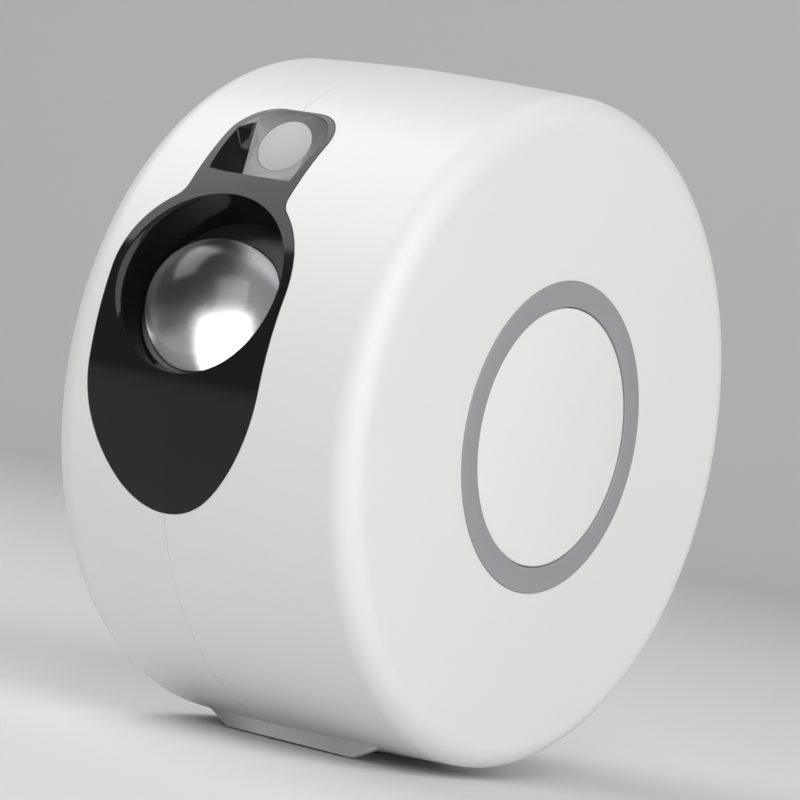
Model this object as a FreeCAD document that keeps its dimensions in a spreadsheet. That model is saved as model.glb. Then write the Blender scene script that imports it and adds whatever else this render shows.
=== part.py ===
import FreeCAD, Part
import math
import os
import re

import Sketcher
from FreeCAD import Placement, Rotation, Vector

# Drum-shaped star and nebula projector, in millimetres.
# Origin at the centre of the resting face, +Z up, drum axis along X.
# The lens looks towards -Y, the round control face is at +X.

SIZES = {
    # Drum casing
    "drum_radius": 80.0,
    "drum_width": 84.4,
    "seam_place": -8.5,
    "seam_slope": 0.82,
    "rim_crown": 1120.0,
    "near_round": 6.2,
    "far_round": 7.4,
    "wall": 2.5,
    "lip_wall": 1.5,
    "lip_reach": 3.0,
    "slip_gap": 0.1,
    "cut_past": 1.0,
    # Foot
    "foot_drop": 0.8,
    "foot_place": -1.9,
    "foot_half_length": 18.2,
    "foot_half_depth": 19.4,
    "foot_flare": 6.2,
    "foot_flare_rise": 3.6,
    "foot_block": 7.0,
    "skid_width": 3.4,
    "web_half_width": 7.5,
    "pad_thickness": 1.0,
    "pad_proud": 0.4,
    "pad_half_length": 6.5,
    "pad_half_depth": 16.0,
    # Case screws and their bosses
    "boss_inset": 16.0,
    "boss_radius": 4.8,
    "boss_split": -14.0,
    "screw_radius": 1.4,
    "screw_hole": 1.5,
    "screw_head_radius": 2.8,
    "screw_head_thick": 2.0,
    "screw_length": 16.0,
    "screw_sink": 22.0,
    "sink_radius": 3.2,
    # Front panel, drawn square to its middle
    "panel_tilt": 14.0,
    "panel_place": -8.3,
    "panel_half_width": 24.0,
    "panel_lobe_radius": 24.5,
    "panel_lobe_height": 1.5,
    "panel_side_end": -19.7,
    "panel_low_angle": 37.5,
    "panel_bottom_radius": 20.0,
    "panel_high_angle": 37.4,
    "panel_top_round": 9.0,
    "neck_half_width": 14.0,
    "neck_round": 5.0,
    "panel_thickness": 2.5,
    "panel_flange": 2.5,
    "flange_thickness": 1.4,
    # Cup round the lens
    "cup_tilt": 15.0,
    "cup_radius": 22.35,
    "cup_draft": 17.0,
    "cup_wall": 1.8,
    # Recess of the laser window
    "window_inset": 3.6,
    "window_rise": 44.9,
    "ledge_drop": 8.3,
    "window_tilt": 26.8,
    "window_radius": 6.9,
    "window_lip": 1.2,
    "recess_rim_side": 1.6,
    "recess_rim_top": 0.5,
    "recess_half_width": 9.45,
    "recess_spread": 0.242,
    "recess_splay": 0.8,
    "recess_wall": 1.6,
    # Projection lens, its ring and tube, along the optical axis
    "optic_tilt": 24.0,
    "lens_inset": 9.9,
    "lens_rise": 12.3,
    "lens_radius": 15.3,
    "lens_edge": 2.0,
    "lens_flange_radius": 17.5,
    "lens_flange": 2.0,
    "ring_outer": 22.6,
    "ring_shift": 2.0,
    "ring_front": 0.5,
    "tube_radius": 19.0,
    "tube_bore": 16.0,
    "tube_length": 18.0,
    "tube_flange_radius": 21.5,
    "tube_flange": 1.5,
    "tube_lip_bore": 13.5,
    "tube_lip": 2.0,
    "ripple_thickness": 1.5,
    # Control face
    "ring_hole_radius": 33.0,
    "ring_seat_depth": 1.2,
    "grey_ring_radius": 36.4,
    "grey_ring_bore": 30.4,
    "grey_ring_proud": 0.3,
    "grey_ring_skirt": 4.0,
    "button_radius": 30.2,
    "button_thick": 2.0,
    "button_skirt_wall": 1.6,
    "button_stop": 1.0,
    "button_post_radius": 2.5,
    "button_travel": 0.6,
    "spring_radius": 5.0,
    "spring_wire": 0.6,
    # Circuit board and what it carries
    "board_tilt": -25.0,
    "board_depth": 6.7,
    "board_thickness": 1.6,
    "board_front": -16.0,
    "board_inset": 14.0,
    "board_half_width": 28.0,
    "board_post_radius": 3.5,
    "board_post_near": 31.0,
    "board_post_inset": 21.0,
    "board_post_side": 23.0,
    "switch_side": 6.0,
    "switch_body": 3.4,
    "plunger_radius": 1.7,
    "plunger_out": 1.0,
    "plunger_in": 1.5,
    "inlet_length": 14.0,
    "inlet_side": 10.0,
    "inlet_bore": 3.1,
    "inlet_bore_depth": 9.5,
    "inlet_pin_radius": 1.05,
    "inlet_pin_length": 8.5,
    "inlet_inset": 4.4,
    "inlet_hole_radius": 4.4,
    "chip_side": 8.0,
    "chip_height": 1.4,
    "chip_place": 4.0,
    # Small gears
    "gear_module": 0.8,
    "pressure_angle": 20.0,
    "backlash": 0.14,
    "addendum": 0.9,
    "dedendum": 1.2,
    "pinion_teeth": 12,
    # Nebula wheel, its axle and its motor
    "wheel_offset": 14.0,
    "wheel_front": -24.5,
    "wheel_teeth": 64,
    "wheel_thickness": 4.0,
    "glass_radius": 22.5,
    "glass_thickness": 2.0,
    "glass_ledge": 1.0,
    "hub_radius": 6.0,
    "hub_collar": 4.0,
    "axle_radius": 1.5,
    "axle_head_radius": 2.6,
    "axle_head": 1.0,
    "running_gap": 0.05,
    "end_gap": 0.3,
    "motor_angle": -70.0,
    "motor_radius": 7.5,
    "motor_length": 15.0,
    "motor_collar_radius": 3.0,
    "shaft_radius": 1.0,
    "motor_ear": 11.5,
    "motor_floor": 1.0,
    # Chassis
    "spine_gap": 7.4,
    "spine_thickness": 2.5,
    "spine_screw_side": 18.0,
    "spine_screw_front": -13.0,
    "spine_screw_back": -27.0,
    "arm_screw_side": 27.0,
    "arm_screw_back": -26.0,
    "plate_thickness": 2.5,
    "plate_half": 23.0,
    "mid_plate": -31.5,
    "arm_top": 50.0,
    "arm_front": -15.0,
    "beam_hole": 11.0,
    "post_radius": 2.5,
    "post_length": 13.0,
    # Light engine
    "condenser_front": 10.5,
    "condenser_back": 6.5,
    "condenser_flange": 12.5,
    "condenser_seat": 2.0,
    "led_board_side": 30.0,
    "led_board_thickness": 1.6,
    "led_side": 3.5,
    "led_height": 1.4,
    "led_pitch": 4.4,
    "sink_base": 3.0,
    "sink_fins": 12.0,
    "fin_count": 7,
    "fin_thickness": 1.4,
    "small_screw": 1.2,
    "small_head": 1.6,
    "small_head_thick": 1.2,
    "small_bite": 4.0,
    # Laser unit behind its window
    "star_module": 0.5,
    "star_teeth": 28,
    "star_pinion_teeth": 16,
    "star_thickness": 3.0,
    "nose_radius": 4.0,
    "nose_length": 2.5,
    "film_radius": 5.0,
    "film_thickness": 0.5,
    "laser_radius": 4.5,
    "laser_length": 34.0,
    "laser_setback": 1.0,
    "beam_radius": 3.0,
    "holder_front": -14.0,
    "holder_length": 16.0,
    "holder_half": 7.5,
    "holder_end": 18.5,
    "star_motor_length": 14.0,
    "star_motor_radius": 5.5,
}

WORDS = re.compile(r"[a-z_]+")
doc = FreeCAD.newDocument("projector")
nodes = []
EDGE_MATCH = 1e-3


def make_sheet():
    """Put every driving size in the spreadsheet, one row each, under its own alias."""
    sheet = doc.addObject("Spreadsheet::Sheet", "Sizes")
    for row, (name, number) in enumerate(SIZES.items(), start=1):
        sheet.set("A%d" % row, name.replace("_", " "))
        sheet.set("B%d" % row, str(number))
        sheet.setAlias("B%d" % row, name)
    doc.recompute()
    return sheet


sheet = make_sheet()


def bound(text):
    """Write a formula in plain size names as one that reads the spreadsheet."""
    return WORDS.sub(lambda word: "Sizes." + word.group() if word.group() in SIZES else word.group(), text)


def value(text):
    """Work out such a formula now, as a number."""
    answer = sheet.evalExpression(bound(text))
    return float(getattr(answer, "Value", answer))


# Frames: each gives the place of its origin and the tilt of its local Z above level

AXIS = "drum_radius + foot_drop + pad_proud"
LENS_Y = "-(drum_radius - lens_inset) * cos(lens_rise)"
LENS_Z = AXIS + " + (drum_radius - lens_inset) * sin(lens_rise)"
WINDOW_Y = "-(drum_radius - window_inset) * cos(window_rise)"
WINDOW_HEIGHT = "(drum_radius - window_inset) * sin(window_rise)"
FRAMES = {
    "base": ("0", "0", "0", "90", -1),
    "drum": ("0", "0", AXIS, "90", -1),
    "panel": ("panel_place", "0", AXIS, "panel_tilt", -1),
    "cup": ("panel_place", "0", AXIS, "cup_tilt", -1),
    "optic": ("panel_place", LENS_Y, LENS_Z, "optic_tilt", -1),
    "laser": ("panel_place", WINDOW_Y, AXIS + " + " + WINDOW_HEIGHT, "window_tilt", -1),
    "rear": ("0", "0", AXIS, "board_tilt", 1),
}


def spot_in(frame, x, y, z):
    """The three formulas of a frame's local point in the part's own axes."""
    base_x, base_y, base_z, tilt, facing = FRAMES[frame]
    if tilt == "90":
        return ["%s + %s" % pair for pair in ((base_x, x), (base_y, y), (base_z, z))]
    return [
        "%s + %s" % (base_x, x),
        "%s + (%s) * sin(%s) + %d * (%s) * cos(%s)" % (base_y, y, tilt, facing, z, tilt),
        "%s - %d * (%s) * cos(%s) + (%s) * sin(%s)" % (base_z, facing, y, tilt, z, tilt),
    ]


def bind_spot(thing, spot):
    """Bind the three coordinates of a thing's Placement to formulas."""
    for letter, formula in zip("xyz", spot):
        thing.setExpression("Placement.Base." + letter, bound(formula))
    return thing


def place(thing, frame, x="0", y="0", z="0"):
    """Bind a thing's Placement to a point of a frame; its own Z looks along the frame's Z."""
    tilt, facing = FRAMES[frame][3:]
    if tilt == "90":
        thing.Placement = Placement(Vector(0, 0, 0), Rotation())
    else:
        thing.Placement = Placement(Vector(0, 0, 0), Rotation(Vector(-facing, 0, 0), 90 - value(tilt)))
        thing.setExpression("Placement.Rotation.Angle", bound("(90 - %s) * 1 deg" % tilt))
    return bind_spot(thing, spot_in(frame, x, y, z))


# Tools for making pieces


def origin_plane(body, role):
    """One of a body's own origin planes."""
    return next(item for item in body.Origin.OriginFeatures if item.Role == role)


def new_sketch(body, role):
    """An empty sketch on one of the body's origin planes."""
    sketch = body.newObject("Sketcher::SketchObject", "outline")
    sketch.AttachmentSupport = [(origin_plane(body, role), "")]
    sketch.MapMode = "FlatFace"
    return sketch


def fix_point(sketch, part, end, corner):
    """Hold one end of a sketched line at a corner given as two formulas."""
    for kind, formula in zip(("DistanceX", "DistanceY"), corner):
        number = sketch.addConstraint(Sketcher.Constraint(kind, -1, 1, part, end, value(formula)))
        sketch.setExpression("Constraints[%d]" % number, bound(formula))


def arc_through(start, finish, radius, side):
    """An arc from start to finish that bulges to the right (side 1) or the left (side -1)."""
    chord = finish - start
    rise = math.sqrt(max(radius ** 2 - (chord.Length / 2) ** 2, 0.0))
    across = Vector(-chord.y, chord.x, 0).normalize()
    centre = (start + finish) * 0.5 + across * rise * side
    angles = [math.atan2(point.y - centre.y, point.x - centre.x) for point in (start, finish)]
    first, last = angles if side > 0 else reversed(angles)
    circle = Part.Circle(centre, Vector(0, 0, 1), radius)
    return Part.ArcOfCircle(circle, first, last if last > first else last + 2 * math.pi)


def draw(body, role, corners):
    """Sketch a closed outline: each corner is (x, y), or (x, y, radius, side) where an arc follows."""
    sketch = new_sketch(body, role)
    points = [Vector(value(corner[0]), value(corner[1]), 0) for corner in corners]
    ends = []
    for index, corner in enumerate(corners):
        start, finish = points[index], points[(index + 1) % len(points)]
        if len(corner) == 2:
            sketch.addGeometry(Part.LineSegment(start, finish), False)
            ends.append((1, 2))
        else:
            sketch.addGeometry(arc_through(start, finish, value(corner[2]), corner[3]), False)
            ends.append((1, 2) if corner[3] > 0 else (2, 1))
    for index, corner in enumerate(corners):
        following = (index + 1) % len(corners)
        sketch.addConstraint(Sketcher.Constraint("Coincident", index, ends[index][1],
                                                 following, ends[following][0]))
        fix_point(sketch, index, ends[index][0], corner)
        if len(corner) > 2:
            number = sketch.addConstraint(Sketcher.Constraint("Radius", index, value(corner[2])))
            sketch.setExpression("Constraints[%d]" % number, bound(corner[2]))
    return sketch


def draw_circles(body, circles):
    """Sketch circles (x, y, radius) on the body's XY plane."""
    sketch = new_sketch(body, "XY_Plane")
    for index, (x, y, radius) in enumerate(circles):
        centre = Vector(value(x), value(y), 0)
        sketch.addGeometry(Part.Circle(centre, Vector(0, 0, 1), value(radius)), False)
        fix_point(sketch, index, 3, (x, y))
        number = sketch.addConstraint(Sketcher.Constraint("Radius", index, value(radius)))
        sketch.setExpression("Constraints[%d]" % number, bound(radius))
    return sketch


def turned(corners):
    """A body turned about its own Z from (radius, height) corners."""
    body = doc.addObject("PartDesign::Body", "turned")
    sketch = draw(body, "XZ_Plane", corners)
    turn = body.newObject("PartDesign::Revolution", "turn")
    turn.Profile = sketch
    turn.ReferenceAxis = (sketch, ["V_Axis"])
    return body


def rod(radius, low, high):
    """A plain round bar between two heights."""
    return turned([("0", low), (radius, low), (radius, high), ("0", high)])


def tube(outer, bore, low, high):
    """A plain round tube between two heights."""
    return turned([(bore, low), (outer, low), (outer, high), (bore, high)])


def plate(corners, thickness, holes=()):
    """A flat body padded up from its XY plane, with round holes (x, y, radius) right through."""
    body = doc.addObject("PartDesign::Body", "plate")
    pad = body.newObject("PartDesign::Pad", "pad")
    pad.Profile = draw(body, "XY_Plane", corners)
    pad.setExpression("Length", bound(thickness))
    if holes:
        doc.recompute()
        pocket = body.newObject("PartDesign::Pocket", "holes")
        pocket.Profile = draw_circles(body, holes)
        pocket.Type = "ThroughAll"
        pocket.Reversed = True
    return body


def rectangle(left, right, front, back):
    """The four corners of an upright rectangle, for draw."""
    return [(left, front), (right, front), (right, back), (left, back)]


def block(frame, x, y, z):
    """A Part box in a frame, each of x, y and z given as (low, high) formulas."""
    box = doc.addObject("Part::Box", "block")
    for side, (low, high) in zip(("Length", "Width", "Height"), (x, y, z)):
        box.setExpression(side, bound("(%s) - (%s)" % (high, low)))
    return place(box, frame, x[0], y[0], z[0])


def drill(frame, x, y, radius, low, high):
    """A Part cylinder along a frame's Z, as a tool or a plain boss."""
    cylinder = doc.addObject("Part::Cylinder", "drill")
    cylinder.setExpression("Radius", bound(radius))
    cylinder.setExpression("Height", bound("(%s) - (%s)" % (high, low)))
    return place(cylinder, frame, x, y, low)


def fuse(*things):
    """The union of several solids."""
    union = doc.addObject("Part::MultiFuse", "union")
    union.Shapes = list(things)
    union.Refine = True
    return union


def common(*things):
    """What several solids share."""
    shared = doc.addObject("Part::MultiCommon", "shared")
    shared.Shapes = list(things)
    return shared


def cut(base, *tools):
    """A solid less one or more tools."""
    trimmed = doc.addObject("Part::Cut", "trimmed")
    trimmed.Base = base
    trimmed.Tool = tools[0] if len(tools) == 1 else fuse(*tools)
    return trimmed


def formed(shape):
    """A document object that holds a shape made from a formula."""
    feature = doc.addObject("Part::Feature", "formed")
    feature.Shape = shape
    return feature


def along_drum(thing, frame="drum", x="0", y="0", z="0"):
    """Lay a thing's own Z along the drum's axis, towards the control face, at a point of a frame."""
    thing.Placement = Placement(Vector(0, 0, 0), Rotation(Vector(0, 1, 0), 90))
    return bind_spot(thing, spot_in(frame, x, y, z))


def cross_rod(frame, y, z, radius, low, high):
    """A Part cylinder parallel to the drum's axis, through a point (y, z) of a frame."""
    cylinder = doc.addObject("Part::Cylinder", "cross")
    cylinder.setExpression("Radius", bound(radius))
    cylinder.setExpression("Height", bound("(%s) - (%s)" % (high, low)))
    return along_drum(cylinder, frame, low, y, z)


def group(things):
    """Several separate solids held as one piece."""
    together = doc.addObject("Part::Compound", "group")
    together.Links = list(things)
    return together


def finish(name, thing):
    """Name a finished piece; its label names its file."""
    thing.Label = name
    nodes.append(thing)
    return thing


# Drum casing: two moulded half drums that meet at the seam, with a foot under both

NEAR_FACE = "drum_width / 2"
FAR_FACE = "-drum_width / 2"
NEAR_INSIDE = NEAR_FACE + " - wall"
FAR_INSIDE = FAR_FACE + " + wall"
BOARD_FACE = NEAR_INSIDE + " - board_depth"
BOARD_BACK = BOARD_FACE + " - board_thickness"
SPINE_OUTER = FAR_INSIDE + " + spine_gap - panel_place"
SPINE_INNER = SPINE_OUTER + " + spine_thickness"
RING_SEAT = NEAR_FACE + " - ring_seat_depth"
HEAD_SEAT = FAR_FACE + " + screw_sink"
INLET_X = BOARD_BACK + " - inlet_side / 2"
INLET_EDGE = "drum_radius - inlet_inset"
BIG = "drum_radius * 1.5"
TALL = "drum_radius * 3"
PRISM_LOW = "drum_radius * 0.7"
PRISM_HIGH = "drum_radius * 1.2"
BOSS_ANGLES = (80, 10, -60, -130)
BOSS_CIRCLE = "(drum_radius - boss_inset)"
BOSS_SPOTS = [("%s * cos(%d)" % (BOSS_CIRCLE, angle), "%s * sin(%d)" % (BOSS_CIRCLE, angle))
              for angle in BOSS_ANGLES]
BOARD_SPOTS = [(side, along) for along in ("board_post_near", "drum_radius - board_post_inset")
               for side in ("-board_post_side", "board_post_side")]
SPINE_SPOTS = [("spine_screw_side", "spine_screw_front"), ("-spine_screw_side", "spine_screw_front"),
               ("-spine_screw_side", "spine_screw_back"), ("arm_screw_side", "arm_screw_back")]


def rim_radius(reach):
    """The drum's radius this far from the seam: a gentle draft that curves in."""
    slope = "asin(sin(seam_slope) + (%s) / rim_crown)" % reach
    return "drum_radius - rim_crown * (cos(seam_slope) - cos(%s))" % slope


def drum_form(inset):
    """The whole drum as one solid, this far inside its outer skin, with rounded rims."""
    inset = "(%s)" % inset
    near, far = NEAR_FACE + " - " + inset, FAR_FACE + " + " + inset
    body = turned([
        ("0", far),
        (rim_radius("drum_width / 2 + seam_place") + " - " + inset, far, "rim_crown", 1),
        ("drum_radius - " + inset, "seam_place", "rim_crown", 1),
        (rim_radius("drum_width / 2 - seam_place") + " - " + inset, near),
        ("0", near),
    ])
    doc.recompute()
    for spot, size in ((far, "far_round"), (near, "near_round")):
        before, level = body.Tip, value(spot)
        rims = [number for number, edge in enumerate(before.Shape.Edges, start=1)
                if max(abs(edge.BoundBox.ZMin - level), abs(edge.BoundBox.ZMax - level)) < EDGE_MATCH]
        rim = body.newObject("PartDesign::Fillet", "rim")
        rim.Base = (before, ["Edge%d" % number for number in rims])
        rim.setExpression("Radius", bound("%s - %s" % (size, inset)))
        doc.recompute()
    return along_drum(body)


def foot_form():
    """The foot: two skids whose ends flare up into the rim, and between them a web for the pad."""
    low = "-(drum_radius + foot_drop)"
    left, right = "foot_place - foot_half_length", "foot_place + foot_half_length"
    body = doc.addObject("PartDesign::Body", "foot")
    pad = body.newObject("PartDesign::Pad", "pad")
    pad.Profile = draw(body, "XZ_Plane", [
        (left, low),
        (right, low),
        (right + " + foot_flare", low + " + foot_flare_rise"),
        (right + " + foot_flare", low + " + foot_block"),
        (left + " - foot_flare", low + " + foot_block"),
        (left + " - foot_flare", low + " + foot_flare_rise"),
    ])
    pad.Midplane = True
    pad.setExpression("Length", bound("2 * foot_half_depth"))
    inner = "foot_half_depth - skid_width"
    gaps = [block("base", side, ("-(%s)" % inner, inner), ("-cut_past", "foot_block + cut_past"))
            for side in (("-" + BIG, "-web_half_width"), ("web_half_width", BIG))]
    return cut(place(body, "drum"), *gaps)


PANEL_LOW = "drum_radius * sin(panel_low_angle)"
PANEL_HIGH = "drum_radius * sin(panel_high_angle)"


def panel_wire(grow):
    """The front panel's outline in its own plane, this much larger all round."""
    middle, side = Vector(0, 0, 0), value("panel_half_width") + grow
    lobe = value("panel_lobe_radius") + grow
    lobe_height, side_end = value("panel_lobe_height"), value("panel_side_end")
    bottom, end_radius = -value(PANEL_LOW) - grow, value("panel_bottom_radius") + grow
    top, corner = value(PANEL_HIGH) + grow, value("panel_top_round") + grow
    neck, fillet = value("neck_half_width") + grow, value("neck_round") - grow

    # The lower end: a round end that eases into each side through a wider arc tangent to both
    end_centre = bottom + end_radius
    drop = side_end - end_centre
    side_radius = (side ** 2 + drop ** 2 - end_radius ** 2) / (2 * (side - end_radius))
    reach = side_radius - end_radius
    lean = Vector(side_radius - side, -drop, 0) / reach
    join = Vector(0, end_centre, 0) + lean * end_radius
    half_lean = Vector(1, 0, 0) + lean
    side_middle = Vector(side - side_radius, side_end, 0) + half_lean.normalize() * side_radius

    # The lobe round the cup runs into the neck through a small hollow fillet
    fillet_x = neck + fillet
    fillet_y = lobe_height + math.sqrt((lobe + fillet) ** 2 - fillet_x ** 2)
    towards = Vector(fillet_x, fillet_y - lobe_height, 0).normalize()
    lobe_end = Vector(0, lobe_height, 0) + towards * lobe
    lobe_side = Vector(lobe, lobe_height, 0)
    lobe_middle = Vector(0, lobe_height, 0) + (Vector(1, 0, 0) + towards).normalize() * lobe
    fillet_middle = Vector(fillet_x, fillet_y, 0) - (towards + Vector(1, 0, 0)).normalize() * fillet
    neck_low = Vector(neck, fillet_y, 0)
    neck_high = Vector(neck, top - corner, 0)
    corner_middle = Vector(neck - corner, top - corner, 0) + Vector(1, 1, 0).normalize() * corner
    top_right = Vector(neck - corner, top, 0)

    right = [
        Part.Arc(join, side_middle, Vector(side, side_end, 0)),
        Part.LineSegment(Vector(side, side_end, 0), lobe_side),
        Part.Arc(lobe_side, lobe_middle, lobe_end),
        Part.Arc(lobe_end, fillet_middle, neck_low),
        Part.LineSegment(neck_low, neck_high),
        Part.Arc(neck_high, corner_middle, top_right),
    ]
    edges = [part.toShape() for part in right]
    mirrored = [edge.mirror(middle, Vector(1, 0, 0)) for edge in edges]
    flip = Vector(-join.x, join.y, 0)
    ends = [
        Part.Arc(flip, Vector(0, bottom, 0), join).toShape(),
        Part.LineSegment(top_right, Vector(-top_right.x, top_right.y, 0)).toShape(),
    ]
    return Part.Wire(Part.__sortEdges__(edges + mirrored + ends))


def panel_prism(grow):
    """A straight prism on the panel's outline, from well inside the drum out past its skin."""
    wire = panel_wire(value(grow))
    wire.translate(Vector(0, 0, value(PRISM_LOW)))
    rise = value(PRISM_HIGH) - value(PRISM_LOW)
    return place(formed(Part.Face(wire).extrude(Vector(0, 0, rise))), "panel")


def neck_prism(side_rim, top_rim):
    """A straight prism on the upper part of the panel's neck, inside its edge by these rims."""
    side, top = value("neck_half_width - " + side_rim), value("%s - %s" % (PANEL_HIGH, top_rim))
    low, corner = value("panel_lobe_height"), value("panel_top_round")
    bend = Vector(1, 1, 0).normalize() * corner
    right, left = Vector(side - corner, top - corner, 0), Vector(corner - side, top - corner, 0)
    parts = [
        Part.LineSegment(Vector(-side, low, 0), Vector(side, low, 0)),
        Part.LineSegment(Vector(side, low, 0), Vector(side, right.y, 0)),
        Part.Arc(Vector(side, right.y, 0), right + bend, Vector(right.x, top, 0)),
        Part.LineSegment(Vector(right.x, top, 0), Vector(left.x, top, 0)),
        Part.Arc(Vector(left.x, top, 0), left + Vector(-bend.x, bend.y, 0), Vector(-side, left.y, 0)),
        Part.LineSegment(Vector(-side, left.y, 0), Vector(-side, low, 0)),
    ]
    wire = Part.Wire([part.toShape() for part in parts])
    wire.translate(Vector(0, 0, value(PRISM_LOW)))
    rise = value(PRISM_HIGH) - value(PRISM_LOW)
    return place(formed(Part.Face(wire).extrude(Vector(0, 0, rise))), "panel")


def recess_walls(grow):
    """The block between the recess's side walls, which spread upwards and splay outwards."""
    reach = value("2 * ledge_drop")
    wires = []
    for height in (-value("2 * recess_wall"), reach):
        middle = value("recess_half_width") + value(grow) + value("recess_splay") * height
        lean = value("recess_spread") * reach
        wide, narrow = middle + lean, middle - lean
        corners = [(-narrow, -reach), (narrow, -reach), (wide, reach), (-wide, reach), (-narrow, -reach)]
        wires.append(Part.makePolygon([Vector(x, y, height) for x, y in corners]))
    return place(formed(Part.makeLoft(wires, True, True)), "laser")


def pad_pocket():
    """The shallow pocket under the foot that takes the rubber pad."""
    return block("base", ("-pad_half_length", "pad_half_length"), ("-pad_half_depth", "pad_half_depth"),
                 ("-cut_past", "pad_thickness"))


def make_near_shell(drum, foot, cavity, opening):
    """The half with the control face: bosses for the case screws, posts for the circuit board."""
    side = block("base", ("seam_place", BIG), ("-" + BIG, BIG), ("-" + BIG, TALL))
    skin = cut(common(fuse(drum, foot), side), cavity)
    inner_end = NEAR_FACE + " - wall / 2"
    bosses = [cross_rod("drum", y, z, "boss_radius", "boss_split", inner_end) for y, z in BOSS_SPOTS]
    posts = [cross_rod("rear", side, along, "board_post_radius", BOARD_FACE, inner_end)
             for side, along in BOARD_SPOTS]
    holes = [cross_rod("drum", y, z, "screw_hole", "boss_split", "boss_split + screw_length")
             for y, z in BOSS_SPOTS]
    holes += [cross_rod("rear", side, along, "small_screw", BOARD_FACE, BOARD_FACE + " + small_bite")
              for side, along in BOARD_SPOTS]
    ring_hole = cross_rod("drum", "0", "0", "ring_hole_radius", NEAR_INSIDE + " - cut_past", BIG)
    ring_seat = cross_rod("drum", "0", "0", "grey_ring_radius + slip_gap", RING_SEAT, BIG)
    inlet_hole = drill("rear", INLET_X, "0", "inlet_hole_radius", INLET_EDGE + " - inlet_length", BIG)
    return finish("near_shell", cut(fuse(skin, *bosses, *posts), opening, ring_hole, ring_seat,
                                    inlet_hole, pad_pocket(), *holes))


def make_far_shell(drum, foot, cavity, opening):
    """The plain half: a locating lip at the seam, deep screw bosses and bosses for the chassis."""
    side = block("base", ("-" + BIG, "seam_place"), ("-" + BIG, BIG), ("-" + BIG, TALL))
    skin = cut(common(fuse(drum, foot), side), cavity)
    lip_outer = "drum_radius - wall - slip_gap"
    before, past = "seam_place - lip_reach", "seam_place + lip_reach"
    root = cross_rod("drum", "0", "0", "drum_radius - wall / 2", before, "seam_place")
    tongue = cross_rod("drum", "0", "0", lip_outer, before, past)
    lip_bore = cross_rod("drum", "0", "0", lip_outer + " - lip_wall", before + " - lip_reach",
                         past + " + lip_reach")
    lip = cut(fuse(root, tongue), lip_bore, panel_prism("panel_flange + slip_gap"))
    inner_end = FAR_FACE + " + wall / 2"
    bosses = [cross_rod("drum", y, z, "boss_radius", inner_end, "boss_split") for y, z in BOSS_SPOTS]
    feet = [cross_rod("optic", y, z, "boss_radius", inner_end + " - panel_place", SPINE_OUTER)
            for y, z in SPINE_SPOTS]
    holes = [cross_rod("optic", y, z, "small_screw", SPINE_OUTER + " - small_bite", SPINE_OUTER)
             for y, z in SPINE_SPOTS]
    holes += [cross_rod("drum", y, z, "screw_hole", FAR_FACE, "boss_split") for y, z in BOSS_SPOTS]
    holes += [cross_rod("drum", y, z, "sink_radius", FAR_FACE, HEAD_SEAT) for y, z in BOSS_SPOTS]
    return finish("far_shell", cut(fuse(skin, lip, *bosses, *feet), opening, *holes))


def make_case():
    """Both shells, the pad under the foot and the screws that draw the shells together."""
    drum, foot, cavity = drum_form("0"), foot_form(), drum_form("wall")
    opening = panel_prism("slip_gap")
    make_near_shell(drum, foot, cavity, opening)
    make_far_shell(drum, foot, cavity, opening)
    pad = plate(rectangle("-pad_half_length", "pad_half_length", "-pad_half_depth", "pad_half_depth"),
                "pad_thickness")
    finish("foot_pad", place(pad, "base"))
    screws = []
    for y, z in BOSS_SPOTS:
        shank = cross_rod("drum", y, z, "screw_radius", HEAD_SEAT, HEAD_SEAT + " + screw_length")
        head = cross_rod("drum", y, z, "screw_head_radius", HEAD_SEAT + " - screw_head_thick", HEAD_SEAT)
        screws.append(fuse(shank, head))
    finish("case_screws", group(screws))


def cup_cone(grow):
    """The tapered inside of the lens cup, this much larger all round."""
    shape = doc.addObject("Part::Cone", "cup")
    for end, height in (("Radius1", PRISM_LOW), ("Radius2", PRISM_HIGH)):
        taper = "cup_radius + %s - (drum_radius - %s) * tan(cup_draft)" % (grow, height)
        shape.setExpression(end, bound(taper))
    shape.setExpression("Height", bound("%s - %s" % (PRISM_HIGH, PRISM_LOW)))
    return place(shape, "cup", "0", "0", PRISM_LOW)


def laser_recess(side_rim, top_rim, wall):
    """The recess above its level ledge and in front of its floor, or the housing this much larger."""
    above = block("drum", ("-" + BIG, BIG), ("-" + BIG, "0"),
                  ("%s - ledge_drop - %s" % (WINDOW_HEIGHT, wall), BIG))
    before = block("laser", ("-" + BIG, BIG), ("-" + BIG, BIG), ("-" + wall, BIG))
    return common(neck_prism(side_rim, top_rim), recess_walls(wall), above, before)


def make_front_panel():
    """The gloss bezel: a flush curved skin, a flange behind it, the lens cup and the laser recess."""
    drum = drum_form("0")
    skin = cut(common(panel_prism("0"), drum), drum_form("panel_thickness + flange_thickness"))
    flange = cut(common(panel_prism("panel_flange"), drum_form("wall + slip_gap")),
                 drum_form("wall + flange_thickness"))
    behind_ring = block("optic", ("-" + BIG, BIG), ("-" + BIG, BIG), ("-" + BIG, "ring_front"))
    cup = cut(common(cup_cone("cup_wall"), drum), behind_ring)
    housing = common(laser_recess("0", "0", "recess_wall"), drum)
    recess = laser_recess("recess_rim_side", "recess_rim_top", "0")
    ring_seat = drill("optic", "0", "ring_shift", "ring_outer + slip_gap", "-tube_length", "ring_front")
    window_hole = drill("laser", "0", "0", "window_radius", "-recess_wall - cut_past", "cut_past")
    window_seat = drill("laser", "0", "0", "window_radius + window_lip + slip_gap", "-window_radius",
                        "-recess_wall")
    finish("front_panel", cut(fuse(skin, flange, cup, housing), cup_cone("0"), recess, ring_seat,
                              window_hole, window_seat))


# Lens and its tube, on the optical axis

TUBE_FRONT = "-lens_edge - lens_flange"
TUBE_BACK = TUBE_FRONT + " - tube_length"
PLATE_FRONT = TUBE_FRONT + " - tube_flange"


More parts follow.
